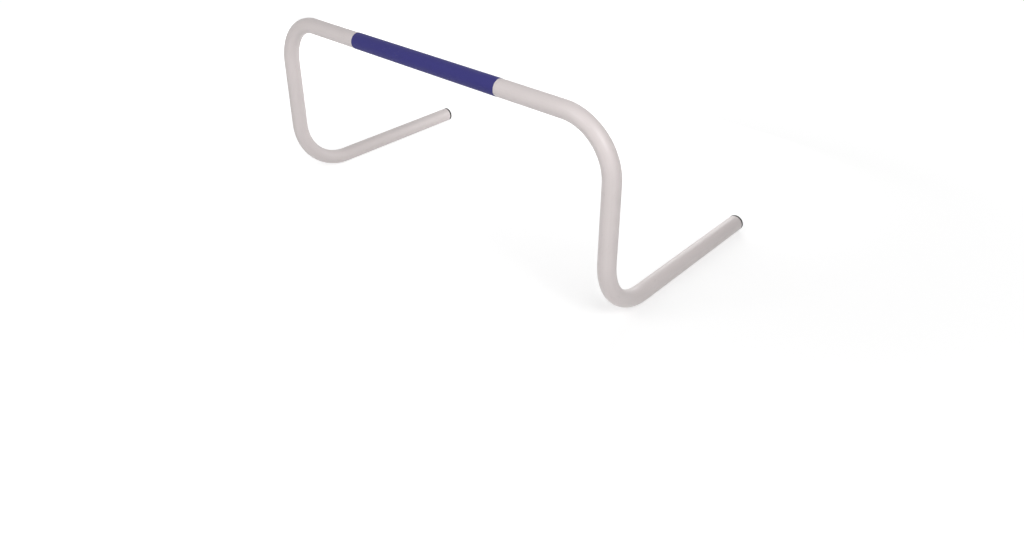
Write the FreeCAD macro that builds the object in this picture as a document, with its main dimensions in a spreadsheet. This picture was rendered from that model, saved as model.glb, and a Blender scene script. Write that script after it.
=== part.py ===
import FreeCAD
import Part
import Sketcher

from enum import IntEnum
import math
import os

# Speed hurdle: a bent plastic tube with a colour band, end plugs and ballast in the feet.
# Millimetres. +X runs along the crossbar, the feet point towards +Y, and the floor is at Z = 0.
# The origin is on the floor, under the middle of the hurdle's length and depth.
# Each body is drawn with Y = 0 in the plane of the crossbar and legs, and its Placement centres it.

DIMENSIONS = (
    ("overall_height", 305.0, "floor to the top of the crossbar"),
    ("leg_spacing", 667.0, "axis of one leg to axis of the other"),
    ("foot_reach", 348.5, "plane of the legs to the cut end of a foot"),
    ("tube_diameter", 25.0, "outside of the tube"),
    ("tube_wall", 2.0, "wall of the tube"),
    ("top_bend_radius", 77.0, "crossbar to leg, on the tube's axis"),
    ("bottom_bend_radius", 89.0, "leg to foot, on the tube's axis"),
    ("tube_end_chamfer", 0.4, "broken edge at the cut ends of the tube"),
    ("band_length", 293.0, "colour band, along the crossbar and in its middle"),
    ("band_film", 0.25, "thickness of the band's film"),
    ("band_lap", 8.0, "width over which the film overlaps itself"),
    ("plug_flange", 4.0, "end of the tube to the crown of the plug's flange"),
    ("plug_dome", 0.6, "rise of the flange's domed face"),
    ("plug_rounding", 0.5, "rounding of the flange's rim"),
    ("plug_stem_length", 16.0, "plug's stem, from the flange into the tube"),
    ("plug_stem_wall", 1.4, "wall of the hollow stem"),
    ("plug_stem_clearance", 0.8, "bore to stem, on the radius"),
    ("plug_rib_clearance", 0.02, "bore to the crest of a gripping rib, on the radius"),
    ("plug_rib_width", 1.6, "gripping rib at its foot"),
    ("plug_rib_pitch", 4.0, "gripping rib to the next one"),
    ("plug_rib_count", 3, "gripping ribs on a stem"),
    ("slug_length", 30.0, "steel ballast bar"),
    ("slug_clearance", 0.3, "bore to ballast bar, on the radius"),
    ("slug_chamfer", 1.0, "broken edges of the ballast bar"),
)

SIDES = {"left": -1, "right": 1}

# Sizes that follow from the sheet, written as expressions for the features.
TUBE_RADIUS = "dimensions.tube_diameter / 2"
BORE_RADIUS = "(dimensions.tube_diameter / 2 - dimensions.tube_wall)"
BAR_HEIGHT = "(dimensions.overall_height - dimensions.tube_diameter / 2)"
BAR_HALF_RUN = "(dimensions.leg_spacing / 2 - dimensions.top_bend_radius)"
LEG_TOP = "(dimensions.overall_height - dimensions.tube_diameter / 2 - dimensions.top_bend_radius)"
LEG_FOOT = "(dimensions.tube_diameter / 2 + dimensions.bottom_bend_radius)"
FOOT_RUN = "(dimensions.foot_reach - dimensions.bottom_bend_radius)"
FRONT = "(-dimensions.tube_diameter / 2 - dimensions.band_film)"
BACK = "(dimensions.foot_reach + dimensions.plug_flange)"
DEPTH_MIDDLE = f"(({FRONT} + {BACK}) / 2)"

# Sketcher numbers the points of a curve from one, in this order.
PointOf = IntEnum("PointOf", ["start", "end", "middle"])

# Sketcher's numbers for a sketch's own axes. The origin is the start of the horizontal one.
AXIS = {"horizontal": -1, "vertical": -2}
ORIGIN = (AXIS["horizontal"], PointOf.start)

COINCIDENCE = 0.001


def make_sheet(doc):
    """Driving dimensions, one row each: what it is, and its value under its alias."""
    sheet = doc.addObject("Spreadsheet::Sheet", "dimensions")
    for row, (alias, value, meaning) in enumerate(DIMENSIONS, start=1):
        sheet.set(f"A{row}", meaning)
        sheet.set(f"B{row}", str(value))
        sheet.setAlias(f"B{row}", alias)
    doc.recompute()


def make_body(doc, label, x="0"):
    """An empty body, placed with the tube's leg plane behind the origin."""
    body = doc.addObject("PartDesign::Body", label)
    body.Label = label
    body.setExpression("Placement.Base.x", x)
    body.setExpression("Placement.Base.y", f"-{DEPTH_MIDDLE}")
    return body


def origin_feature(body, role):
    """The body's own origin plane or axis with that role."""
    return next(feature for feature in body.Origin.OriginFeatures if feature.Role == role)


def make_sketch(body, name, role, offset="0"):
    """A sketch on an origin plane of the body, moved along the plane's normal."""
    sketch = body.newObject("Sketcher::SketchObject", name)
    sketch.AttachmentSupport = [(origin_feature(body, role), "")]
    sketch.MapMode = "FlatFace"
    sketch.setExpression("AttachmentOffset.Base.z", offset)
    return sketch


def number(sketch, expression):
    """What an expression of the sheet is worth now, to draw geometry near its final place."""
    value = sketch.evalExpression(expression)
    return float(getattr(value, "Value", value))


def drive(sketch, constraint, name, expression):
    """Add a dimensional constraint and tie it to the sheet."""
    index = sketch.addConstraint(constraint)
    sketch.renameConstraint(index, name)
    sketch.setExpression(f"Constraints.{name}", expression)


def join(sketch, first, first_point, second, second_point):
    """Put a point of one curve on a point of another."""
    sketch.addConstraint(Sketcher.Constraint("Coincident", first, first_point, second, second_point))


def place_point(sketch, name, geometry, point, across, along):
    """Tie a point to the sketch's origin by two distances. An empty one puts it on that axis."""
    for kind, distance, axis in (("DistanceX", across, "vertical"), ("DistanceY", along, "horizontal")):
        if distance:
            value = number(sketch, distance)
            constraint = Sketcher.Constraint(kind, *ORIGIN, geometry, point, value)
            drive(sketch, constraint, f"{name}_{kind}", distance)
        else:
            sketch.addConstraint(Sketcher.Constraint("PointOnObject", geometry, point, AXIS[axis]))


def draw_ring(sketch, across, along, outer, inner):
    """Two circles round one centre: the cut face of a tube."""
    centre = FreeCAD.Vector(number(sketch, across or "0"), number(sketch, along or "0"), 0)
    upwards = FreeCAD.Vector(0, 0, 1)
    rings = []
    for name, radius in (("outer", outer), ("inner", inner)):
        size = number(sketch, radius)
        ring = sketch.addGeometry(Part.Circle(centre, upwards, size), False)
        drive(sketch, Sketcher.Constraint("Radius", ring, size), f"{name}_radius", radius)
        rings.append(ring)
    join(sketch, rings[0], PointOf.middle, rings[1], PointOf.middle)
    place_point(sketch, "centre", rings[0], PointOf.middle, across, along)


def draw_outline(sketch, corners):
    """A closed outline of straight lines through corners, each given as two expressions."""
    points = [FreeCAD.Vector(number(sketch, x or "0"), number(sketch, y or "0"), 0) for x, y in corners]
    lines = []
    for first, second in zip(points, points[1:] + points[:1]):
        lines.append(sketch.addGeometry(Part.LineSegment(first, second), False))
    for line, following in zip(lines, lines[1:] + lines[:1]):
        join(sketch, line, PointOf.end, following, PointOf.start)
    for index, (line, (across, along)) in enumerate(zip(lines, corners)):
        place_point(sketch, f"corner_{index}", line, PointOf.start, across, along)


def draw_axis(sketch, along):
    """A construction line beside the sketch's horizontal axis, which a profile turns about."""
    length = 10.0
    first = FreeCAD.Vector(0, number(sketch, along), 0)
    line = sketch.addGeometry(Part.LineSegment(first, first + FreeCAD.Vector(length, 0, 0)), True)
    place_point(sketch, "axis", line, PointOf.start, "", along)
    sketch.addConstraint(Sketcher.Constraint("Horizontal", line))
    sketch.addConstraint(Sketcher.Constraint("Distance", line, PointOf.start, line, PointOf.end, length))


def add_pad(body, name, sketch, length, backwards=False):
    """Extrude a sketch along its normal."""
    pad = body.newObject("PartDesign::Pad", name)
    pad.Profile = sketch
    pad.setExpression("Length", length)
    pad.Reversed = backwards
    return pad


def add_turn(body, name, sketch, angle):
    """Revolve a sketch about its construction line."""
    turn = body.newObject("PartDesign::Revolution", name)
    turn.Profile = sketch
    turn.ReferenceAxis = (sketch, ["Axis0"])
    turn.setExpression("Angle", angle)
    return turn


def circular_edges(shape, radius, y):
    """Names of the circular edges of that radius, round the Y direction, at that Y."""
    names = []
    for index, edge in enumerate(shape.Edges, start=1):
        if edge.Degenerated or not isinstance(edge.Curve, Part.Circle):
            continue
        curve = edge.Curve
        same_radius = abs(curve.Radius - radius) < COINCIDENCE
        same_place = abs(curve.Center.y - y) < COINCIDENCE
        if same_radius and same_place and abs(curve.Axis.y) > 1 - COINCIDENCE:
            names.append(f"Edge{index}")
    return names


def break_edges(doc, body, kind, name, size, edges_wanted):
    """Chamfer or fillet the circular edges given as (radius, Y) pairs in the body's own frame."""
    doc.recompute()
    base = body.Tip
    edges = []
    for radius, y in edges_wanted:
        edges += circular_edges(base.Shape, radius, y)
    feature = body.newObject(f"PartDesign::{kind}", name)
    feature.Base = (base, edges)
    feature.setExpression("Radius" if kind == "Fillet" else "Size", size)
    return feature


def make_frame_tube(doc):
    """One tube: half the crossbar, a leg and a foot with the bends between them, then mirrored."""
    body = make_body(doc, "frame_tube")
    leg_x = "dimensions.leg_spacing / 2"

    bar_section = make_sketch(body, "bar_section", "YZ_Plane")
    draw_ring(bar_section, "", BAR_HEIGHT, TUBE_RADIUS, BORE_RADIUS)
    bar = add_pad(body, "bar", bar_section, BAR_HALF_RUN)

    top_section = make_sketch(body, "top_bend_section", "YZ_Plane", BAR_HALF_RUN)
    draw_ring(top_section, "", BAR_HEIGHT, TUBE_RADIUS, BORE_RADIUS)
    draw_axis(top_section, LEG_TOP)
    top_bend = add_turn(body, "top_bend", top_section, "90")

    leg_section = make_sketch(body, "leg_section", "XY_Plane", LEG_TOP)
    draw_ring(leg_section, leg_x, "", TUBE_RADIUS, BORE_RADIUS)
    leg = add_pad(body, "leg", leg_section, f"{LEG_TOP} - {LEG_FOOT}", backwards=True)

    bottom_section = make_sketch(body, "bottom_bend_section", "XY_Plane", LEG_FOOT)
    draw_ring(bottom_section, leg_x, "", TUBE_RADIUS, BORE_RADIUS)
    draw_axis(bottom_section, "dimensions.bottom_bend_radius")
    bottom_bend = add_turn(body, "bottom_bend", bottom_section, "90")

    foot_section = make_sketch(body, "foot_section", "XZ_Plane", "-dimensions.bottom_bend_radius")
    draw_ring(foot_section, leg_x, TUBE_RADIUS, TUBE_RADIUS, BORE_RADIUS)
    foot = add_pad(body, "foot", foot_section, FOOT_RUN, backwards=True)

    mirrored = body.newObject("PartDesign::Mirrored", "other_half")
    mirrored.Originals = [bar, top_bend, leg, bottom_bend, foot]
    mirrored.MirrorPlane = (origin_feature(body, "YZ_Plane"), [""])
    body.Tip = mirrored

    sheet = doc.dimensions
    radius = sheet.tube_diameter / 2
    cut_ends = [(radius, sheet.foot_reach), (radius - sheet.tube_wall, sheet.foot_reach)]
    body.Tip = break_edges(doc, body, "Chamfer", "cut_ends", "dimensions.tube_end_chamfer", cut_ends)
    return body


def make_colour_band(doc):
    """A film wrapped once round the crossbar, with a second layer where it laps over itself."""
    body = make_body(doc, "colour_band")
    outer = f"({TUBE_RADIUS} + dimensions.band_film)"

    wrap_section = make_sketch(body, "wrap_section", "YZ_Plane")
    draw_ring(wrap_section, "", BAR_HEIGHT, outer, TUBE_RADIUS)
    wrap = add_pad(body, "wrap", wrap_section, "dimensions.band_length")
    wrap.Midplane = True

    half = "dimensions.band_length / 2"
    top_of_lap = f"({BAR_HEIGHT} - {outer})"
    under_lap = f"({BAR_HEIGHT} - {outer} - dimensions.band_film)"
    lap_section = make_sketch(body, "lap_section", "XZ_Plane")
    corners = [(f"-{half}", under_lap), (half, under_lap), (half, top_of_lap), (f"-{half}", top_of_lap)]
    draw_outline(lap_section, corners)
    draw_axis(lap_section, BAR_HEIGHT)
    add_turn(body, "lap", lap_section, f"dimensions.band_lap / {outer} * 180 / {math.pi}")
    return body


def make_end_plug(doc, side, sign):
    """A push-in plug: domed flange against the tube's end, hollow stem with gripping ribs inside."""
    body = make_body(doc, f"{side}_end_plug", f"{sign} * dimensions.leg_spacing / 2")
    face = "dimensions.foot_reach"
    rim = f"({face} + dimensions.plug_flange - dimensions.plug_dome)"
    stem_radius = f"({BORE_RADIUS} - dimensions.plug_stem_clearance)"
    stem_end = f"({face} - dimensions.plug_stem_length)"

    flange_section = make_sketch(body, "flange_section", "YZ_Plane")
    draw_flange(flange_section, face, rim)
    add_turn(body, "flange", flange_section, "360")

    stem_section = make_sketch(body, "stem_section", "XZ_Plane", f"-{face}")
    draw_ring(stem_section, "", TUBE_RADIUS, stem_radius, f"{stem_radius} - dimensions.plug_stem_wall")
    add_pad(body, "stem", stem_section, "dimensions.plug_stem_length")

    rib_section = make_sketch(body, "rib_section", "YZ_Plane")
    half_rib = "dimensions.plug_rib_width / 2"
    first_rib = f"({stem_end} + dimensions.plug_rib_width)"
    # The rib's foot lies a little inside the stem's wall, so that the two join.
    foot_level = f"{TUBE_RADIUS} + {stem_radius} - dimensions.plug_stem_wall / 2"
    crest_level = f"{TUBE_RADIUS} + {BORE_RADIUS} - dimensions.plug_rib_clearance"
    corners = [
        (f"{first_rib} - {half_rib}", foot_level),
        (f"{first_rib} + {half_rib}", foot_level),
        (f"{first_rib} + {half_rib}", crest_level),
    ]
    draw_outline(rib_section, corners)
    draw_axis(rib_section, TUBE_RADIUS)
    rib = add_turn(body, "rib", rib_section, "360")

    ribs = body.newObject("PartDesign::LinearPattern", "ribs")
    ribs.Originals = [rib]
    ribs.Direction = (origin_feature(body, "Y_Axis"), [""])
    ribs.setExpression("Length", "dimensions.plug_rib_pitch * (dimensions.plug_rib_count - 1)")
    ribs.setExpression("Occurrences", "dimensions.plug_rib_count")
    body.Tip = ribs

    sheet = doc.dimensions
    rim_edge = [(sheet.tube_diameter / 2, sheet.foot_reach + sheet.plug_flange - sheet.plug_dome)]
    body.Tip = break_edges(doc, body, "Fillet", "rim_rounding", "dimensions.plug_rounding", rim_edge)
    return body


def draw_flange(sketch, face, rim):
    """Half the flange's section: flat at the back, square at the rim, an arc across the domed front."""
    axis = number(sketch, TUBE_RADIUS)
    back = number(sketch, face)
    edge = number(sketch, rim)
    crown = number(sketch, f"{face} + dimensions.plug_flange")
    bulge = crown - edge
    sphere = (axis ** 2 + bulge ** 2) / (2 * bulge)
    centre = FreeCAD.Vector(crown - sphere, axis, 0)
    upwards = FreeCAD.Vector(0, 0, 1)
    corners = [(back, axis), (back, 2 * axis), (edge, 2 * axis), (crown, axis)]
    points = [FreeCAD.Vector(x, y, 0) for x, y in corners]
    lines = [sketch.addGeometry(Part.LineSegment(a, b), False) for a, b in zip(points[:2], points[1:3])]
    dome_circle = Part.Circle(centre, upwards, sphere)
    dome = sketch.addGeometry(Part.ArcOfCircle(dome_circle, 0, math.asin(axis / sphere)), False)
    shaft = sketch.addGeometry(Part.LineSegment(points[3], points[0]), False)
    join(sketch, lines[0], PointOf.end, lines[1], PointOf.start)
    join(sketch, lines[1], PointOf.end, dome, PointOf.end)
    join(sketch, dome, PointOf.start, shaft, PointOf.start)
    join(sketch, shaft, PointOf.end, lines[0], PointOf.start)
    sketch.addConstraint(Sketcher.Constraint("PointOnObject", dome, PointOf.middle, shaft))
    place_point(sketch, "back", lines[0], PointOf.start, face, TUBE_RADIUS)
    place_point(sketch, "shoulder", lines[0], PointOf.end, face, "dimensions.tube_diameter")
    place_point(sketch, "rim", lines[1], PointOf.end, rim, "dimensions.tube_diameter")
    place_point(sketch, "crown", dome, PointOf.start, f"{face} + dimensions.plug_flange", TUBE_RADIUS)
    draw_axis(sketch, TUBE_RADIUS)


def make_ballast_slug(doc, side, sign):
    """A cut length of round steel bar, a sliding fit in the foot, against the end of the plug's stem."""
    body = make_body(doc, f"{side}_ballast_slug", f"{sign} * dimensions.leg_spacing / 2")
    outer_end = "(dimensions.foot_reach - dimensions.plug_stem_length)"
    slug_radius = f"({BORE_RADIUS} - dimensions.slug_clearance)"
    edge = "dimensions.slug_chamfer"
    inner_end = f"({outer_end} - dimensions.slug_length)"

    section = make_sketch(body, "slug_section", "YZ_Plane")
    top = f"{TUBE_RADIUS} + {slug_radius}"
    corners = [
        (inner_end, TUBE_RADIUS),
        (inner_end, f"{top} - {edge}"),
        (f"{inner_end} + {edge}", top),
        (f"{outer_end} - {edge}", top),
        (outer_end, f"{top} - {edge}"),
        (outer_end, TUBE_RADIUS),
    ]
    draw_outline(section, corners)
    draw_axis(section, TUBE_RADIUS)
    add_turn(body, "bar", section, "360")
    return body


def check_document(doc, bodies):
    """Stop if anything in the document failed or a sub-part isn't one valid solid."""
    doc.recompute()
    for item in doc.Objects:
        failed = {"Invalid", "Error"}.intersection(item.State)
        if failed:
            raise RuntimeError(f"{item.Name} is {sorted(failed)}")
    for body in bodies:
        shape = body.Shape
        if shape.isNull() or not shape.isValid() or len(shape.Solids) != 1:
            raise RuntimeError(f"{body.Label} isn't one valid solid")


def report_tube(doc, body):
    """Compare the tube's volume with its section times the length of its axis."""
    sheet = doc.dimensions
    radius = sheet.tube_diameter / 2
    section = math.pi * (radius ** 2 - (radius - sheet.tube_wall) ** 2)
    bar = sheet.leg_spacing - 2 * sheet.top_bend_radius
    leg = sheet.overall_height - 2 * radius - sheet.top_bend_radius - sheet.bottom_bend_radius
    foot = sheet.foot_reach - sheet.bottom_bend_radius
    bends = math.pi / 2 * (sheet.top_bend_radius + sheet.bottom_bend_radius)
    length = bar + 2 * (leg + foot + bends)
    share = body.Shape.Volume / (section * length)
    print(f"tube axis {length:.1f} mm, volume {share:.5f} of section times length")


def export_parts(bodies):
    """Write each sub-part to its own file."""
    os.makedirs("parts", exist_ok=True)
    for body in bodies:
        body.Shape.exportStep(f"parts/{body.Label}.step")
        box = body.Shape.optimalBoundingBox()
        low = f"({box.XMin:.2f}, {box.YMin:.2f}, {box.ZMin:.2f})"
        high = f"({box.XMax:.2f}, {box.YMax:.2f}, {box.ZMax:.2f})"
        print(f"{body.Label}: {body.Shape.Volume / 1000:.2f} cm3, {low} to {high}")


def main():
    doc = FreeCAD.newDocument("speed_hurdle")
    make_sheet(doc)
    frame_tube = make_frame_tube(doc)
    bodies = [frame_tube, make_colour_band(doc)]
    for side, sign in SIDES.items():
        bodies.append(make_end_plug(doc, side, sign))
        bodies.append(make_ballast_slug(doc, side, sign))
    check_document(doc, bodies)
    report_tube(doc, frame_tube)
    export_parts(bodies)


main()
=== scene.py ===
"""Speed hurdle: the finished look of a bent white tube with a colour band and plugged feet.

Laid out as a Blender add-on and run as a script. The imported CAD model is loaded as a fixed
frame, and each piece made here takes the place of one CAD node. The ballast inside the feet
keeps its CAD shape. Sizes are metres: X runs along the crossbar, Y the way the feet point,
and Z is up.
"""

import math
from collections import namedtuple

import bmesh
import bpy
from bpy.props import FloatProperty, FloatVectorProperty, IntProperty, PointerProperty
from mathutils import Matrix, Vector


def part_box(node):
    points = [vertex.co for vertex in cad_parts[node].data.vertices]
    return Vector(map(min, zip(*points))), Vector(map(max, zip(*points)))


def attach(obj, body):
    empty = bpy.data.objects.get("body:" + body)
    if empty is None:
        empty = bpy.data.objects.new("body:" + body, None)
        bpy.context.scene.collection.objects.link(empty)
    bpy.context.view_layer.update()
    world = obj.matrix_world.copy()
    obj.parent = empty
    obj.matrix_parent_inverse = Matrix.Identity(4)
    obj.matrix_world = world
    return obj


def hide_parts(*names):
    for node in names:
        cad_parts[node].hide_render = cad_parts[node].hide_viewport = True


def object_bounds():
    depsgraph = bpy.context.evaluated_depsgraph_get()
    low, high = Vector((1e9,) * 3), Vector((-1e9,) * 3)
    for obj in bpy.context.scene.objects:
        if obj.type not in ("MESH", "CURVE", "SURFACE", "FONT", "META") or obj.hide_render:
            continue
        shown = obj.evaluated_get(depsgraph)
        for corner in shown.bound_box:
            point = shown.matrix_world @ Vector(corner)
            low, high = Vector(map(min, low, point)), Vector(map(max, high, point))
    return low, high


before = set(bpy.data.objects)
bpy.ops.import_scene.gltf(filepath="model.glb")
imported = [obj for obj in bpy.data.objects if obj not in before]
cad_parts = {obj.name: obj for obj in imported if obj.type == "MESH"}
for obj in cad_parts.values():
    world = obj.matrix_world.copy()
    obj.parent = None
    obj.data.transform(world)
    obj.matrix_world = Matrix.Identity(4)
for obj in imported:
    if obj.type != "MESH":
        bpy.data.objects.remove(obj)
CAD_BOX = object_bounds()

bl_info = {
    "name": "Speed hurdle",
    "version": (1, 0, 0),
    "blender": (4, 5, 0),
    "location": "3D View > Sidebar > Hurdle",
    "description": "Builds a low training hurdle of bent tube around its CAD frame",
    "category": "Object",
}

BODY = "root"
BAND_LOW, BAND_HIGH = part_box("colour_band")
FOOT_REACH = 0.3485
PLUG_FLANGE = 0.004
# The crossbar and both legs stand in this plane; the plugs' crowns end the feet behind it.
LEG_PLANE = CAD_BOX[1].y - PLUG_FLANGE - FOOT_REACH

QUARTER_TURN = math.pi / 2
FULL_TURN = 2 * math.pi
MERGE_DISTANCE = 1e-6
SHARP_ANGLE = math.radians(32)
# The rims of a sawn end fold by more than this, and the facets of the round tube by less.
RIM_ANGLE = QUARTER_TURN / 2

# Steps that round shapes are drawn in, and the length of one step of a straight run
RING_SIDES = 96
BEND_STEPS = 28
DOME_STEPS = 10
CHAMFER_STEPS = 2
ROUNDING_STEPS = 5
RUN_STEP = 0.02
BEVEL_STYLE = {"profile": 0.5, "affect": "EDGES", "material": -1}

# A bend grows wider by this share of what it loses in depth.
BEND_WIDENING = 0.4
# The flat floor of the gate mark's dimple, as a share of the dimple's radius
GATE_FLOOR_SHARE = 0.7
# The gripping rib nearest the stem's end has its front this many rib widths from it.
FIRST_RIB_FRONT = 1.5

# Sockets of Blender's Mix node when it mixes colours
MIX_SHARE = 0
MIX_FIRST = 6
MIX_SECOND = 7
MIX_RESULT = 2

WHITE = (1, 1, 1, 1)

# A hairline scratch is this many times as long as it is wide.
SCRATCH_STRETCH = 16
# How the three sets of scratches are turned about X, Y and Z, in radians
SCRATCH_TURNS = ((0.03, 0.35, 0.0), (-0.04, -0.22, 0.2), (0.02, 0.08, 0.8))


def length(name, description, default):
    """A length that a user may change, in metres."""
    return FloatProperty(name=name, description=description, default=default, unit="LENGTH", precision=5)


def share(name, description, default):
    """A plain share from 0 to 1."""
    return FloatProperty(
        name=name, description=description, default=default, min=0, max=1, subtype="FACTOR"
    )


def colour(name, description, default):
    """A surface colour."""
    return FloatVectorProperty(
        name=name, description=description, default=default, size=3, min=0, max=1, subtype="COLOR"
    )


class HurdleTubeSizes(bpy.types.PropertyGroup):
    """Sizes of the bent tube."""

    overall_height: length("Overall height", "Floor to the top of the crossbar", 0.305)
    leg_spacing: length("Leg spacing", "Between the middles of the two legs", 0.667)
    foot_reach: length("Foot reach", "Middle of a leg to the sawn end of its foot", FOOT_REACH)
    diameter: length("Diameter", "Outside diameter of the tube", 0.025)
    wall: length("Wall", "Thickness of the tube's wall", 0.002)
    top_bend: length("Top bend", "Bend radius beside the crossbar, at the tube's middle", 0.077)
    bottom_bend: length("Bottom bend", "Bend radius above a foot, at the tube's middle", 0.089)
    end_chamfer: length("End chamfer", "Edge broken off the sawn ends", 0.0004)
    flattening: share("Flattening", "Share of the diameter lost in the middle of a bend", 0.018)


class HurdleBandSizes(bpy.types.PropertyGroup):
    """Sizes of the colour band."""

    left_end: length("Left end", "Place of the band's left end along the crossbar", BAND_LOW.x)
    right_end: length("Right end", "Place of the band's right end along the crossbar", BAND_HIGH.x)
    film: length("Film", "Thickness of the film", 0.00025)
    lap: length("Lap", "How far the film laps over itself", 0.008)
    ramp: length("Ramp", "Length over which the film climbs onto its own start", 0.0016)


class HurdlePlugSizes(bpy.types.PropertyGroup):
    """Sizes of the push-in end plugs."""

    flange: length("Flange", "Height of the flange at its crown", PLUG_FLANGE)
    dome: length("Dome", "Rise of the crown above the rim", 0.0006)
    rounding: length("Rounding", "Rounding of the flange's outer edge", 0.0005)
    stem_length: length("Stem length", "Depth of the stem in the tube", 0.016)
    stem_wall: length("Stem wall", "Thickness of the hollow stem's wall", 0.0014)
    stem_clearance: length("Stem clearance", "Gap between stem and bore", 0.0008)
    rib_clearance: length("Rib clearance", "Gap between rib and bore", 0.00002)
    rib_width: length("Rib width", "Width of a gripping rib", 0.0016)
    rib_pitch: length("Rib pitch", "Distance from rib to rib", 0.004)
    ribs: IntProperty(name="Ribs", description="Number of gripping ribs", default=3, min=1, max=3)
    gate: length("Gate mark", "Radius of the moulding gate's dimple in the crown", 0.0016)
    gate_depth: length("Gate depth", "Depth of that dimple", 0.0003)


class HurdleFinishes(bpy.types.PropertyGroup):
    """Colours of the surfaces."""

    tube_white: colour("Tube white", "Warm white of the tube", (0.675, 0.618, 0.611))
    band_blue: colour("Band blue", "Deep blue of the film", (0.041, 0.038, 0.184))
    plug_black: colour("Plug black", "Black of the end plugs", (0.007, 0.007, 0.0075))
    steel_grey: colour("Steel grey", "Grey of the ballast", (0.50, 0.49, 0.48))
    scuff_grey: colour("Scuff grey", "Grey of rubbed marks", (0.42, 0.40, 0.39))
    dust_brown: colour("Dust brown", "Brown of settled dust", (0.40, 0.35, 0.29))


class HurdleStage(bpy.types.PropertyGroup):
    """Floor, light and surroundings."""

    floor_tone: colour("Floor tone", "Colour of the floor", (0.95, 0.95, 0.95))
    floor_size: length("Floor size", "Side of the square floor", 60.0)
    shadow_depth: share("Shadow depth", "How strongly the floor shows the hurdle's shadow", 0.5)
    light_pool: FloatVectorProperty(
        name="Light pool",
        description="Middle of the floor that the lamps light most",
        default=(0.35, -0.25, 0.0),
        size=3,
        subtype="TRANSLATION",
        unit="LENGTH",
    )
    near_lift: share("Near lift", "Light added to the seen floor in the light pool", 0.58)
    far_lift: share("Far lift", "Light added to the seen floor that the lamps hardly reach", 0.88)
    near_reach: length("Near reach", "Distance from the pool's middle where the lift begins to rise", 0.15)
    far_reach: length("Far reach", "Distance from the pool's middle where the lift is full", 1.4)
    lamp_level: FloatProperty(name="Lamp level", description="Strength of all lamps", default=1.0, min=0)


class HurdleSettings(bpy.types.PropertyGroup):
    """Everything that a user may change."""

    tube: PointerProperty(type=HurdleTubeSizes, name="Tube", description="Sizes of the bent tube")
    band: PointerProperty(type=HurdleBandSizes, name="Band", description="Sizes of the colour band")
    plug: PointerProperty(type=HurdlePlugSizes, name="Plug", description="Sizes of the end plugs")
    finish: PointerProperty(type=HurdleFinishes, name="Finishes", description="Surface colours")
    stage: PointerProperty(type=HurdleStage, name="Stage", description="Floor and light")


def verts_of(geometry):
    """The vertices in a list of mesh elements."""
    return [item for item in geometry if isinstance(item, bmesh.types.BMVert)]


def edges_of(geometry):
    """The edges in a list of mesh elements."""
    return [item for item in geometry if isinstance(item, bmesh.types.BMEdge)]


def middle_of(verts):
    """The mean place of some vertices."""
    return sum((vert.co for vert in verts), Vector()) / len(verts)


def finish_mesh(bm):
    """Close the seams of a made shape and turn all its faces outwards."""
    bmesh.ops.remove_doubles(bm, verts=bm.verts[:], dist=MERGE_DISTANCE)
    bmesh.ops.recalc_face_normals(bm, faces=bm.faces[:])


def make_piece(bm, name, node, material):
    """Turn a finished bmesh into the piece that stands for one CAD node."""
    mesh = bpy.data.meshes.new(name)
    bm.to_mesh(mesh)
    bm.free()
    mesh.shade_smooth()
    mesh.set_sharp_from_angle(angle=SHARP_ANGLE)
    mesh.materials.append(material)
    piece = bpy.data.objects.new(name, mesh)
    bpy.context.scene.collection.objects.link(piece)
    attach(piece, BODY)
    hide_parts(node)


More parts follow.
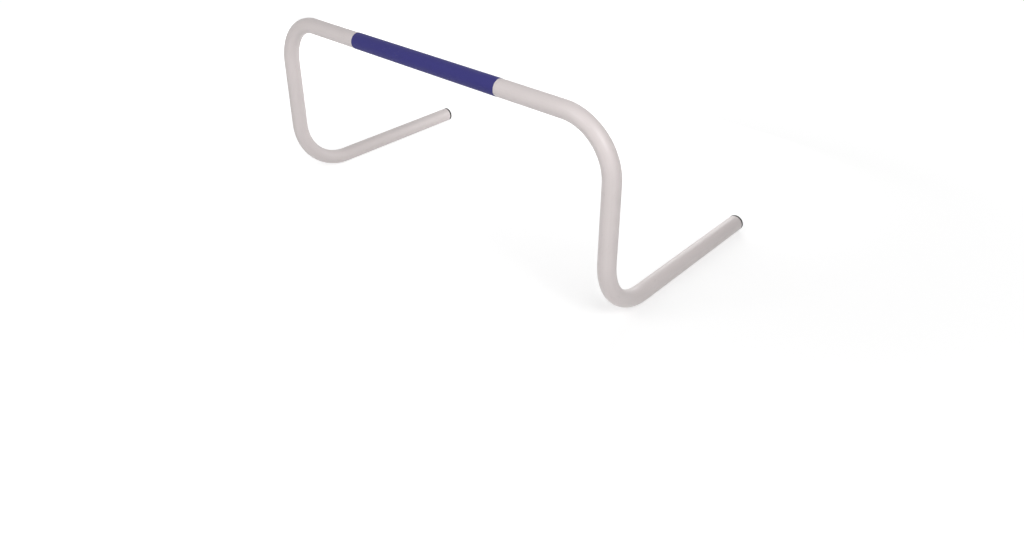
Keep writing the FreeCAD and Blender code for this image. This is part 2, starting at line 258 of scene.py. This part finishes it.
class TubeBender:
    """A tube's skin that grows ring by ring, as it would through a bender.

    Each point keeps two records for the finish: where it lay on the straight tube, and
    how far its bend has stretched it, from -1 inside the bend to 1 outside.
    """

    def __init__(self, start, radius):
        self.bm = bmesh.new()
        self.straight = self.bm.verts.layers.float_vector.new("straight")
        self.stretch = self.bm.verts.layers.float.new("stretch")
        self.radius = radius
        self.along = 0.0
        bmesh.ops.create_circle(self.bm, cap_ends=False, segments=RING_SIDES, radius=radius, matrix=start)
        for vert in self.bm.verts:
            vert[self.straight] = start.inverted() @ vert.co
        self.ring = self.bm.verts[:] + self.bm.edges[:]

    def note_place(self):
        """Record how far along the straight tube the newest ring lies."""
        for vert in verts_of(self.ring):
            place = vert[self.straight]
            vert[self.straight] = Vector((place.x, place.y, self.along))

    def run(self, move):
        """Carry the tube straight on."""
        steps = max(1, round(move.length / RUN_STEP))
        for _ in range(steps):
            made = bmesh.ops.spin(
                self.bm, geom=self.ring, cent=Vector(), axis=(0, 0, 1), dvec=move / steps, angle=0, steps=1
            )
            self.ring = made["geom_last"]
            self.along += move.length / steps
            self.note_place()

    def bend(self, centre, axis, flattening):
        """Turn the tube a quarter round a centre, a little flattened in the bend's plane."""
        bend_radius = (middle_of(verts_of(self.ring)) - centre).length
        depth_before = 1.0
        width_before = 1.0
        for step in range(1, BEND_STEPS + 1):
            made = bmesh.ops.spin(
                self.bm, geom=self.ring, cent=centre, axis=axis, angle=QUARTER_TURN / BEND_STEPS, steps=1
            )
            self.ring = made["geom_last"]
            self.along += bend_radius * QUARTER_TURN / BEND_STEPS
            self.note_place()

            strain = math.sin(math.pi * step / BEND_STEPS)
            depth = 1 - flattening * strain
            width = 1 + BEND_WIDENING * flattening * strain
            verts = verts_of(self.ring)
            middle = middle_of(verts)
            outward = (middle - centre).normalized()
            squeeze = Matrix.Scale(depth / depth_before, 4, outward)
            widen = Matrix.Scale(width / width_before, 4, axis)
            bmesh.ops.transform(
                self.bm, matrix=squeeze @ widen, space=Matrix.Translation(-middle), verts=verts
            )
            depth_before = depth
            width_before = width
            for vert in verts:
                vert[self.stretch] = strain * outward.dot(vert.co - middle) / self.radius

    def add_other_side(self):
        """Mirror the half tube, and let the straight tube run on from the other half."""
        everything = self.bm.verts[:] + self.bm.edges[:] + self.bm.faces[:]
        bmesh.ops.mirror(self.bm, geom=everything, axis="X", merge_dist=MERGE_DISTANCE)
        for vert in self.bm.verts:
            if vert.co.x < 0:
                place = vert[self.straight]
                vert[self.straight] = Vector((place.x, place.y, -place.z))
        finish_mesh(self.bm)

    def give_wall(self, wall, chamfer):
        """Thicken the skin inwards, and break the edges of the two sawn ends."""
        bmesh.ops.solidify(self.bm, geom=self.bm.faces[:], thickness=wall)
        end = max(vert.co.y for vert in self.bm.verts)
        rims = []
        for edge in self.bm.edges:
            at_end = all(abs(vert.co.y - end) < MERGE_DISTANCE for vert in edge.verts)
            folds = len(edge.link_faces) == 2 and edge.calc_face_angle() > RIM_ANGLE
            if at_end and folds:
                rims.append(edge)
        bmesh.ops.bevel(self.bm, geom=rims, offset=chamfer, segments=CHAMFER_STEPS, **BEVEL_STYLE)


def bend_frame_tube(tube):
    """The one tube of the hurdle: crossbar, legs and feet, with its bore."""
    radius = tube.diameter / 2
    half_spacing = tube.leg_spacing / 2
    bar_height = tube.overall_height - radius
    bar_run = half_spacing - tube.top_bend
    leg_top = bar_height - tube.top_bend
    leg_foot = radius + tube.bottom_bend
    foot_run = tube.foot_reach - tube.bottom_bend

    start = Matrix.Translation((0, LEG_PLANE, bar_height)) @ Matrix.Rotation(QUARTER_TURN, 4, "Y")
    bender = TubeBender(start, radius)
    bender.run(Vector((bar_run, 0, 0)))
    bender.bend(Vector((bar_run, LEG_PLANE, leg_top)), Vector((0, 1, 0)), tube.flattening)
    bender.run(Vector((0, 0, leg_foot - leg_top)))
    bottom_centre = Vector((half_spacing, LEG_PLANE + tube.bottom_bend, leg_foot))
    bender.bend(bottom_centre, Vector((1, 0, 0)), tube.flattening)
    bender.run(Vector((0, foot_run, 0)))
    bender.add_other_side()
    bender.give_wall(tube.wall, tube.end_chamfer)
    return bender.bm


def wrap_colour_band(tube, band):
    """A film wound once round the crossbar, climbing onto its own start at the underside."""
    radius = tube.diameter / 2
    axis_point = Vector((0, LEG_PLANE, tube.overall_height - radius))
    bm = bmesh.new()
    inner = -radius
    outer = -radius - band.film
    corners = [
        (band.left_end, inner),
        (band.right_end, inner),
        (band.right_end, outer),
        (band.left_end, outer),
    ]
    verts = [bm.verts.new(axis_point + Vector((x, 0, z))) for x, z in corners]
    edges = [bm.edges.new((verts[n - 1], verts[n])) for n in range(len(verts))]
    bmesh.ops.edgeloop_fill(bm, edges=edges)

    def wind(geometry, angle, climb):
        """Wind the film on by an angle, lifted off the tube by the climb."""
        steps = max(1, round(RING_SIDES * angle / FULL_TURN))
        for _ in range(steps):
            made = bmesh.ops.spin(
                bm, geom=geometry, cent=axis_point, axis=(1, 0, 0), angle=angle / steps, steps=1
            )
            geometry = made["geom_last"]
            ring = verts_of(geometry)
            middle = middle_of(ring) - axis_point
            outward = Vector((0, middle.y, middle.z)).normalized()
            bmesh.ops.translate(bm, verts=ring, vec=outward * climb / steps)
        return geometry

    ramp_angle = band.ramp / radius
    lap_angle = band.lap / (radius + band.film)
    last = wind(edges + verts, FULL_TURN - ramp_angle, 0)
    last = wind(last, ramp_angle, band.film)
    last = wind(last, lap_angle, 0)
    bmesh.ops.edgeloop_fill(bm, edges=edges_of(last))
    # The lap lies on the film's own start without being joined to it, so no points are merged.
    bmesh.ops.recalc_face_normals(bm, faces=bm.faces[:])
    return bm


def turn_end_plug(tube, plug, side):
    """A push-in plug turned about the foot's axis: domed flange, hollow stem and gripping ribs."""
    radius = tube.diameter / 2
    bore = radius - tube.wall
    face = LEG_PLANE + tube.foot_reach
    crown = face + plug.flange
    rim = crown - plug.dome
    stem = bore - plug.stem_clearance
    crest = bore - plug.rib_clearance
    stem_end = face - plug.stem_length

    bm = bmesh.new()
    axis_point = Vector((side * tube.leg_spacing / 2, 0, radius))

    def add_point(out, along):
        """One corner of the profile: its distance from the axis, and its place along it."""
        return bm.verts.new(axis_point + Vector((out, along, 0)))

    dome_radius = (radius**2 + plug.dome**2) / (2 * plug.dome)
    dome_centre = axis_point + Vector((0, crown - dome_radius, 0))
    gate_angle = math.asin(plug.gate / dome_radius)
    dome_angle = math.asin(radius / dome_radius)
    gate_edge = add_point(plug.gate, crown - dome_radius * (1 - math.cos(gate_angle)))
    gate_floor = crown - plug.gate_depth
    dimple = [add_point(0, gate_floor), add_point(GATE_FLOOR_SHARE * plug.gate, gate_floor), gate_edge]
    for first, second in zip(dimple, dimple[1:]):
        bm.edges.new((first, second))
    dome_turn = dome_angle - gate_angle
    bmesh.ops.spin(
        bm, geom=[gate_edge], cent=dome_centre, axis=(0, 0, -1), angle=dome_turn, steps=DOME_STEPS
    )

    hollow = stem - plug.stem_wall
    # A rib's sloping back starts in the middle of the stem's wall and leaves it partway up.
    rib_foot = stem - plug.stem_wall / 2
    buried = (stem - rib_foot) / (crest - rib_foot)
    corners = [(radius, rim), (radius, face), (stem, face)]
    for rib in reversed(range(plug.ribs)):
        front = stem_end + FIRST_RIB_FRONT * plug.rib_width + rib * plug.rib_pitch
        back = front - plug.rib_width * (1 - buried)
        corners += [(stem, front), (crest, front), (stem, back)]
    corners += [(stem, stem_end), (hollow, stem_end), (hollow, face), (0, face)]
    points = [add_point(out, along) for out, along in corners]
    for first, second in zip(points, points[1:]):
        bm.edges.new((first, second))

    profile = bm.verts[:] + bm.edges[:]
    bmesh.ops.spin(
        bm, geom=profile, cent=axis_point, axis=(0, 1, 0), angle=FULL_TURN, steps=RING_SIDES, use_merge=True
    )
    finish_mesh(bm)
    rim_edges = []
    for edge in bm.edges:
        outs = [(vert.co - axis_point).xz.length for vert in edge.verts]
        at_rim = all(abs(vert.co.y - rim) < MERGE_DISTANCE for vert in edge.verts)
        if at_rim and min(outs) > radius - MERGE_DISTANCE:
            rim_edges.append(edge)
    bmesh.ops.bevel(bm, geom=rim_edges, offset=plug.rounding, segments=ROUNDING_STEPS, **BEVEL_STYLE)
    return bm


def add_node(tree, kind, inputs=None, **settings):
    """Put a node in a tree. An input is a plain value, or another node's output to link."""
    node = tree.nodes.new(kind)
    for name, value in settings.items():
        setattr(node, name, value)
    for socket, value in (inputs or {}).items():
        if isinstance(value, bpy.types.NodeSocket):
            tree.links.new(value, node.inputs[socket])
        else:
            node.inputs[socket].default_value = value
    return node


def opaque(rgb):
    """A colour with full alpha, as node sockets take it."""
    return (*rgb, 1.0)


def combine(tree, operation, first, second):
    """Two values joined by one operation of the Math node."""
    return add_node(tree, "ShaderNodeMath", {0: first, 1: second}, operation=operation).outputs[0]


def raise_by(tree, value, mask, amount):
    """A value raised where a mask is, at most by the amount."""
    return combine(tree, "ADD", value, combine(tree, "MULTIPLY", mask, amount))


def mix_colours(tree, amount, first, second):
    """The colour between two colours."""
    inputs = {MIX_SHARE: amount, MIX_FIRST: first, MIX_SECOND: second}
    return add_node(tree, "ShaderNodeMix", inputs, data_type="RGBA").outputs[MIX_RESULT]


def cover(tree, base, mask, strength, rgb):
    """A base colour covered by another where a mask is, at most by the strength."""
    return mix_colours(tree, combine(tree, "MULTIPLY", mask, strength), base, opaque(rgb))


def spread(tree, value, span, new_span):
    """A value carried smoothly from one span to another, and held at its ends."""
    inputs = {
        "Value": value,
        "From Min": span[0],
        "From Max": span[1],
        "To Min": new_span[0],
        "To Max": new_span[1],
    }
    return add_node(tree, "ShaderNodeMapRange", inputs, interpolation_type="SMOOTHSTEP").outputs["Result"]


def cloud(tree, place, scale, detail):
    """Soft uneven noise, mostly about a half."""
    inputs = {"Vector": place, "Scale": scale, "Detail": detail}
    return add_node(tree, "ShaderNodeTexNoise", inputs).outputs["Fac"]


def start_group(name, inputs, output):
    """A shader node group with named inputs and one output."""
    tree = bpy.data.node_groups.new(name, "ShaderNodeTree")
    for socket, kind in inputs.items():
        tree.interface.new_socket(name=socket, in_out="INPUT", socket_type=kind)
    tree.interface.new_socket(name=output, in_out="OUTPUT", socket_type="NodeSocketFloat")
    entry = tree.nodes.new("NodeGroupInput")
    leave = tree.nodes.new("NodeGroupOutput")
    return tree, entry.outputs, leave.inputs[output]


def use_group(tree, group, **inputs):
    """Place a node group in a material with its own values."""
    return add_node(tree, "ShaderNodeGroup", inputs, node_tree=group).outputs[0]


def length_streaks_group():
    """Long faint streaks, as a die or a tool leaves them."""
    inputs = {"Place": "NodeSocketVector", "Across": "NodeSocketFloat", "Along": "NodeSocketFloat"}
    tree, entry, leave = start_group("length_streaks", inputs, "Streaks")
    scale = add_node(
        tree, "ShaderNodeCombineXYZ", {"X": entry["Across"], "Y": entry["Across"], "Z": entry["Along"]}
    )
    stretched = add_node(
        tree, "ShaderNodeVectorMath", {0: entry["Place"], 1: scale.outputs[0]}, operation="MULTIPLY"
    )
    uneven = cloud(tree, stretched.outputs[0], scale=1, detail=3)
    tree.links.new(spread(tree, uneven, (0.30, 0.70), (0, 1)), leave)
    return tree


def hairline_scuffs_group():
    """Short straight hairline scratches, roughly along Z, gathered in patches."""
    inputs = {"Place": "NodeSocketVector", "Size": "NodeSocketFloat", "Cover": "NodeSocketFloat"}
    tree, entry, leave = start_group("hairline_scuffs", inputs, "Scuffs")
    scaled = add_node(
        tree, "ShaderNodeVectorMath", {0: entry["Place"], "Scale": entry["Size"]}, operation="SCALE"
    ).outputs[0]
    lines = None
    for turn in SCRATCH_TURNS:
        stretched = {"Vector": scaled, "Rotation": turn, "Scale": (1, 1, SCRATCH_STRETCH)}
        turned = add_node(tree, "ShaderNodeMapping", stretched, vector_type="TEXTURE").outputs[0]
        needles = add_node(tree, "ShaderNodeTexVoronoi", {"Vector": turned, "Scale": 1})
        line = spread(tree, needles.outputs["Distance"], (0.05, 0.13), (1, 0))
        lines = line if lines is None else combine(tree, "MAXIMUM", lines, line)
    uneven = cloud(tree, scaled, scale=0.1, detail=2)
    bare = combine(tree, "SUBTRACT", 1, entry["Cover"])
    patches = spread(tree, combine(tree, "SUBTRACT", uneven, bare), (-0.08, 0.08), (0, 1))
    tree.links.new(combine(tree, "MULTIPLY", lines, patches), leave)
    return tree


def floor_dust_group():
    """Dust that settles in a thin uneven film just above the floor."""
    inputs = {"Place": "NodeSocketVector", "Reach": "NodeSocketFloat"}
    tree, entry, leave = start_group("floor_dust", inputs, "Dust")
    height = add_node(tree, "ShaderNodeSeparateXYZ", {0: entry["Place"]}).outputs["Z"]
    low = combine(tree, "SUBTRACT", 1, combine(tree, "DIVIDE", height, entry["Reach"]))
    uneven = spread(tree, cloud(tree, entry["Place"], scale=140, detail=4), (0.35, 0.7), (0.2, 1))
    near = spread(tree, low, (0, 1), (0, 1))
    tree.links.new(combine(tree, "MULTIPLY", near, uneven), leave)
    return tree


def moulded_grain_group():
    """Fine pebbled grain, as a mould or a roller prints it."""
    inputs = {"Place": "NodeSocketVector", "Size": "NodeSocketFloat"}
    tree, entry, leave = start_group("moulded_grain", inputs, "Grain")
    pebbles = {"Vector": entry["Place"], "Scale": entry["Size"]}
    pebbled = add_node(tree, "ShaderNodeTexVoronoi", pebbles, feature="SMOOTH_F1").outputs["Distance"]
    uneven = cloud(tree, entry["Place"], scale=entry["Size"], detail=3)
    grain = combine(tree, "ADD", pebbled, uneven)
    tree.links.new(combine(tree, "MULTIPLY", grain, 0.5), leave)
    return tree


def start_material(name, **constants):
    """A material with one Principled shader, whose constant sockets are set here."""
    material = bpy.data.materials.new(name)
    material.use_nodes = True
    tree = material.node_tree
    tree.nodes.clear()
    shader = tree.nodes.new("ShaderNodeBsdfPrincipled")
    output = tree.nodes.new("ShaderNodeOutputMaterial")
    tree.links.new(shader.outputs["BSDF"], output.inputs["Surface"])
    for socket, value in constants.items():
        shader.inputs[socket.replace("_", " ")].default_value = value
    return material, tree, shader


def add_bump(tree, shader, height, distance):
    """Raise the surface by a height map, a full height being the distance."""
    bump = add_node(tree, "ShaderNodeBump", {"Height": height, "Distance": distance, "Strength": 1.0})
    tree.links.new(bump.outputs["Normal"], shader.inputs["Normal"])


def object_place(tree):
    """Where a point of the piece is, in metres."""
    return tree.nodes.new("ShaderNodeTexCoord").outputs["Object"]


def turned_place(tree, place, turn):
    """A place seen in turned axes, so that a pattern along Z runs another way."""
    return add_node(tree, "ShaderNodeMapping", {"Vector": place, "Rotation": turn}).outputs[0]


def named_place(tree, name, output):
    """A record that the piece's own points carry."""
    node = add_node(tree, "ShaderNodeAttribute", attribute_type="GEOMETRY", attribute_name=name)
    return node.outputs[output]


def white_tube_plastic(finish, groups):
    """Extruded white plastic: satin, with die streaks, stretched bends, scuffs and floor dust."""
    material, tree, shader = start_material("white_tube_plastic", IOR=1.53, Specular_IOR_Level=0.3)
    place = object_place(tree)
    straight = named_place(tree, "straight", "Vector")
    stretch = named_place(tree, "stretch", "Fac")

    streaks = use_group(tree, groups["length_streaks"], Place=straight, Across=700, Along=1.5)
    scuffs = use_group(tree, groups["hairline_scuffs"], Place=straight, Size=400, Cover=0.5)
    dust = use_group(tree, groups["floor_dust"], Place=place, Reach=0.005)
    tone = cloud(tree, straight, scale=14, detail=2)
    stretched = spread(tree, stretch, (0.2, 1.0), (0, 0.5))

    white = Vector(finish.tube_white)
    base = mix_colours(tree, tone, opaque(white * 0.97), opaque(white * 1.03))
    drawn = cover(tree, base, mask=streaks, strength=0.25, rgb=white * 0.94)
    paler = mix_colours(tree, stretched, drawn, opaque(white * 1.06))
    rubbed = cover(tree, paler, mask=scuffs, strength=0.35, rgb=finish.scuff_grey)
    dusty = cover(tree, rubbed, mask=dust, strength=0.45, rgb=finish.dust_brown)
    tree.links.new(dusty, shader.inputs["Base Color"])

    satin = spread(tree, streaks, (0, 1), (0.30, 0.38))
    worn = raise_by(tree, satin, mask=scuffs, amount=0.2)
    dulled = raise_by(tree, worn, mask=dust, amount=0.3)
    tree.links.new(dulled, shader.inputs["Roughness"])
    scratched = combine(tree, "SUBTRACT", streaks, scuffs)
    add_bump(tree, shader, height=scratched, distance=0.000004)
    return material


def blue_band_film(finish, groups):
    """Printed vinyl film: matt, with a roller's orange peel and hairline scuffs along the bar."""
    material, tree, shader = start_material("blue_band_film", IOR=1.52, Specular_IOR_Level=0.15)
    place = object_place(tree)
    along_bar = turned_place(tree, place, (0, QUARTER_TURN, 0))
    peel = use_group(tree, groups["moulded_grain"], Place=place, Size=420)
    scuffs = use_group(tree, groups["hairline_scuffs"], Place=along_bar, Size=400, Cover=0.5)
    tone = cloud(tree, place, scale=22, detail=3)

    blue = Vector(finish.band_blue)
    base = mix_colours(tree, tone, opaque(blue * 0.92), opaque(blue * 1.08))
    rubbed = cover(tree, base, mask=scuffs, strength=0.12, rgb=finish.scuff_grey)
    tree.links.new(rubbed, shader.inputs["Base Color"])
    matt = spread(tree, tone, (0.3, 0.7), (0.50, 0.58))
    worn = raise_by(tree, matt, mask=scuffs, amount=0.2)
    tree.links.new(worn, shader.inputs["Roughness"])
    add_bump(tree, shader, height=peel, distance=0.000002)
    return material


def black_plug_plastic(finish, groups):
    """Moulded black plastic: matt spark grain, rubbed a little and dusty at the floor."""
    material, tree, shader = start_material("black_plug_plastic", IOR=1.51, Specular_IOR_Level=0.15)
    place = object_place(tree)
    grain = use_group(tree, groups["moulded_grain"], Place=place, Size=2600)
    scuffs = use_group(tree, groups["hairline_scuffs"], Place=place, Size=700, Cover=0.5)
    dust = use_group(tree, groups["floor_dust"], Place=place, Reach=0.006)

    black = Vector(finish.plug_black)
    base = mix_colours(tree, grain, opaque(black * 0.8), opaque(black * 1.3))
    rubbed = cover(tree, base, mask=scuffs, strength=0.05, rgb=finish.scuff_grey)
    dusty = cover(tree, rubbed, mask=dust, strength=0.12, rgb=finish.dust_brown)
    tree.links.new(dusty, shader.inputs["Base Color"])
    matt = spread(tree, grain, (0.2, 0.8), (0.50, 0.62))
    tree.links.new(matt, shader.inputs["Roughness"])
    add_bump(tree, shader, height=grain, distance=0.00001)
    return material


def drawn_ballast_steel(finish, groups):
    """Bright drawn steel bar with draw lines and a few dull patches."""
    material, tree, shader = start_material("drawn_ballast_steel", Metallic=1.0)
    place = object_place(tree)
    along_bar = turned_place(tree, place, (QUARTER_TURN, 0, 0))
    streaks = use_group(tree, groups["length_streaks"], Place=along_bar, Across=2400, Along=30)
    patches = cloud(tree, place, scale=90, detail=4)

    steel = Vector(finish.steel_grey)
    base = mix_colours(tree, streaks, opaque(steel * 0.85), opaque(steel * 1.12))
    dull = spread(tree, patches, (0.55, 0.75), (0, 0.6))
    tree.links.new(mix_colours(tree, dull, base, opaque(steel * 0.45)), shader.inputs["Base Color"])
    brushed = spread(tree, patches, (0.3, 0.75), (0.28, 0.55))
    tree.links.new(brushed, shader.inputs["Roughness"])
    add_bump(tree, shader, height=streaks, distance=0.00001)
    return material


def make_groups():
    """The shared effects, each built once."""
    makers = {
        "length_streaks": length_streaks_group,
        "hairline_scuffs": hairline_scuffs_group,
        "floor_dust": floor_dust_group,
        "moulded_grain": moulded_grain_group,
    }
    return {name: bpy.data.node_groups.get(name) or maker() for name, maker in makers.items()}


class HURDLE_OT_bend_frame_tube(bpy.types.Operator):
    """Bend the white tube: crossbar, legs and feet in one piece"""

    bl_idname = "hurdle.bend_frame_tube"
    bl_label = "Bend frame tube"

    def execute(self, context):
        settings = context.scene.hurdle
        material = white_tube_plastic(settings.finish, make_groups())
        bm = bend_frame_tube(settings.tube)
        make_piece(bm, "bent_tube", "frame_tube", material)
        return {"FINISHED"}


class HURDLE_OT_wrap_colour_band(bpy.types.Operator):
    """Wrap the blue film round the crossbar"""

    bl_idname = "hurdle.wrap_colour_band"
    bl_label = "Wrap colour band"

    def execute(self, context):
        settings = context.scene.hurdle
        material = blue_band_film(settings.finish, make_groups())
        bm = wrap_colour_band(settings.tube, settings.band)
        make_piece(bm, "band_film", "colour_band", material)
        return {"FINISHED"}


class HURDLE_OT_push_in_plugs(bpy.types.Operator):
    """Push a black plug into the end of each foot"""

    bl_idname = "hurdle.push_in_plugs"
    bl_label = "Push in end plugs"

    def execute(self, context):
        settings = context.scene.hurdle
        material = black_plug_plastic(settings.finish, make_groups())
        for name, side in (("left", -1), ("right", 1)):
            bm = turn_end_plug(settings.tube, settings.plug, side)
            make_piece(bm, f"{name}_plug", f"{name}_end_plug", material)
        return {"FINISHED"}


class HURDLE_OT_finish_ballast(bpy.types.Operator):
    """Give the ballast slugs inside the feet their steel"""

    bl_idname = "hurdle.finish_ballast"
    bl_label = "Finish ballast slugs"

    def execute(self, context):
        material = drawn_ballast_steel(context.scene.hurdle.finish, make_groups())
        for node in ("left_ballast_slug", "right_ballast_slug"):
            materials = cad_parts[node].data.materials
            materials.clear()
            materials.append(material)
        return {"FINISHED"}


# The photograph's camera: where it stands, which way it looks from there, and its focal
# length in pixels of an image that is FRAME_WIDTH pixels wide. The sensor is in millimetres.
CAMERA_PLACE = Vector((0.8537, -0.9195, 0.6845))
CAMERA_AZIMUTH = math.radians(42.397)
CAMERA_ELEVATION = math.radians(27.825)
FRAME_WIDTH = 1024
FOCAL_PIXELS = 838.73
SENSOR_WIDTH = 36.0
FRAME_SHIFT_Y = -0.0806

# A soft box has its place, its width and height, and the light level that it gives at the hurdle.
SoftBox = namedtuple("SoftBox", "name place size level shows_in_gloss")
SOFT_BOXES = (
    SoftBox("front_box", Vector((0, -1.1, 1.0)), (0.6, 0.6), 0.23, True),
    SoftBox("right_box", Vector((1.0, -0.6, 1.0)), (0.6, 0.6), 0.394, True),
    SoftBox("left_box", Vector((-1.1, 0.4, 0.35)), (0.6, 0.6), 0.2, False),
    SoftBox("low_back_box", Vector((0, 0.5, 0.25)), (0.4, 0.4), 0.43, False),
    SoftBox("low_back_strip", Vector((0, 0.5, 0.22)), (0.4, 0.16), 0.26, True),
    SoftBox("low_front_box", Vector((-0.2, -0.5, 0.25)), (0.4, 0.4), 0.05, False),
)
SOFT_BOX_AIM = Vector((0, 0, 0.12))
WORLD_LEVEL = 0.237


def direction_to(azimuth, elevation):
    """The way from the hurdle to a place at these angles; azimuth 0 is in front, 90 at its right."""
    flat = math.cos(elevation)
    return Vector((math.sin(azimuth) * flat, -math.cos(azimuth) * flat, math.sin(elevation)))


def add_camera(scene):
    """The photograph's camera."""
    data = bpy.data.cameras.new("photo_camera")
    data.sensor_width = SENSOR_WIDTH
    data.lens = FOCAL_PIXELS / FRAME_WIDTH * SENSOR_WIDTH
    data.shift_y = FRAME_SHIFT_Y
    camera = bpy.data.objects.new("photo_camera", data)
    camera.location = CAMERA_PLACE
    looking = -direction_to(CAMERA_AZIMUTH, CAMERA_ELEVATION)
    camera.rotation_euler = looking.to_track_quat("-Z", "Y").to_euler()
    scene.collection.objects.link(camera)
    scene.camera = camera


def add_soft_box(scene, box, lamp_level):
    """One soft box. At level 1 it alone shows a facing colour as it is written."""
    throw = box.place - SOFT_BOX_AIM
    data = bpy.data.lights.new(box.name, "AREA")
    data.shape = "RECTANGLE"
    data.size, data.size_y = box.size
    data.energy = box.level * lamp_level * math.pi**2 * throw.length_squared
    lamp = bpy.data.objects.new(box.name, data)
    lamp.location = box.place
    lamp.rotation_euler = (-throw).to_track_quat("-Z", "Y").to_euler()
    lamp.visible_camera = False
    lamp.visible_glossy = box.shows_in_gloss
    scene.collection.objects.link(lamp)


def seen_directly(tree):
    """1 for rays from the camera or a mirror-like surface, and 0 for the light itself."""
    path = tree.nodes.new("ShaderNodeLightPath").outputs
    mirrored = combine(tree, "MAXIMUM", path["Is Glossy Ray"], path["Is Transmission Ray"])
    return combine(tree, "MAXIMUM", path["Is Camera Ray"], mirrored)


def add_world(scene):
    """White surroundings, which light the hurdle at their own lower level."""
    world = bpy.data.worlds.new("white_studio")
    world.use_nodes = True
    tree = world.node_tree
    tree.nodes.clear()
    level = spread(tree, seen_directly(tree), (0, 1), (WORLD_LEVEL, 1.0))
    background = add_node(tree, "ShaderNodeBackground", {"Color": WHITE, "Strength": level})
    output = tree.nodes.new("ShaderNodeOutputWorld")
    tree.links.new(background.outputs[0], output.inputs["Surface"])
    scene.world = world


def pale_floor(stage):
    """A plain floor that shows white to the camera, apart from the hurdle's shadow."""
    material = bpy.data.materials.new("pale_floor")
    material.use_nodes = True
    tree = material.node_tree
    tree.nodes.clear()
    seen = seen_directly(tree)
    tone = mix_colours(tree, seen, opaque(stage.floor_tone), opaque([stage.shadow_depth] * 3))
    matt = add_node(tree, "ShaderNodeBsdfDiffuse", {"Color": tone})
    places = {0: object_place(tree), 1: stage.light_pool}
    distance = add_node(tree, "ShaderNodeVectorMath", places, operation="DISTANCE").outputs["Value"]
    reach = (stage.near_reach, stage.far_reach)
    rise = spread(tree, distance, reach, (stage.near_lift, stage.far_lift))
    lift = combine(tree, "MULTIPLY", seen, rise)
    glow = add_node(tree, "ShaderNodeEmission", {"Color": WHITE, "Strength": lift})
    both = add_node(tree, "ShaderNodeAddShader", {0: matt.outputs[0], 1: glow.outputs[0]})
    output = tree.nodes.new("ShaderNodeOutputMaterial")
    tree.links.new(both.outputs[0], output.inputs["Surface"])
    return material


def add_floor(scene, stage):
    """The floor that the feet rest on."""
    bm = bmesh.new()
    bmesh.ops.create_grid(bm, x_segments=1, y_segments=1, size=stage.floor_size / 2)
    mesh = bpy.data.meshes.new("floor")
    bm.to_mesh(mesh)
    bm.free()
    mesh.materials.append(pale_floor(stage))
    floor = bpy.data.objects.new("floor", mesh)
    scene.collection.objects.link(floor)


class HURDLE_OT_set_stage(bpy.types.Operator):
    """Set up the floor, the soft lamps and the camera"""

    bl_idname = "hurdle.set_stage"
    bl_label = "Set up stage"

    def execute(self, context):
        scene = context.scene
        stage = scene.hurdle.stage
        scene.view_settings.view_transform = "Standard"
        add_floor(scene, stage)
        add_world(scene)
        for box in SOFT_BOXES:
            add_soft_box(scene, box, stage.lamp_level)
        add_camera(scene)
        return {"FINISHED"}


OPERATORS = (
    HURDLE_OT_bend_frame_tube,
    HURDLE_OT_wrap_colour_band,
    HURDLE_OT_push_in_plugs,
    HURDLE_OT_finish_ballast,
    HURDLE_OT_set_stage,
)
SETTING_GROUPS = (
    HurdleTubeSizes,
    HurdleBandSizes,
    HurdlePlugSizes,
    HurdleFinishes,
    HurdleStage,
    HurdleSettings,
)


class HURDLE_PT_build(bpy.types.Panel):
    """The hurdle's pieces, in the order in which they are built"""

    bl_idname = "HURDLE_PT_build"
    bl_label = "Speed hurdle"
    bl_space_type = "VIEW_3D"
    bl_region_type = "UI"
    bl_category = "Hurdle"

    def draw(self, context):
        layout = self.layout
        settings = context.scene.hurdle
        for operator in OPERATORS:
            layout.operator(operator.bl_idname)
        for group in ("tube", "band", "plug", "finish", "stage"):
            box = layout.box()
            box.label(text=group.capitalize())
            values = getattr(settings, group)
            for name in values.bl_rna.properties.keys():
                if name not in {"rna_type", "name"}:
                    box.prop(values, name)


CLASSES = (*SETTING_GROUPS, *OPERATORS, HURDLE_PT_build)


def register():
    """Make the settings, the operators and the panel known to Blender."""
    for cls in CLASSES:
        bpy.utils.register_class(cls)
    bpy.types.Scene.hurdle = PointerProperty(type=HurdleSettings)


def unregister():
    """Take everything out again."""
    del bpy.types.Scene.hurdle
    for cls in reversed(CLASSES):
        bpy.utils.unregister_class(cls)


def main():
    register()
    bpy.ops.hurdle.bend_frame_tube()
    bpy.ops.hurdle.wrap_colour_band()
    bpy.ops.hurdle.push_in_plugs()
    bpy.ops.hurdle.finish_ballast()
    bpy.ops.hurdle.set_stage()


if __name__ == "__main__":
    main()
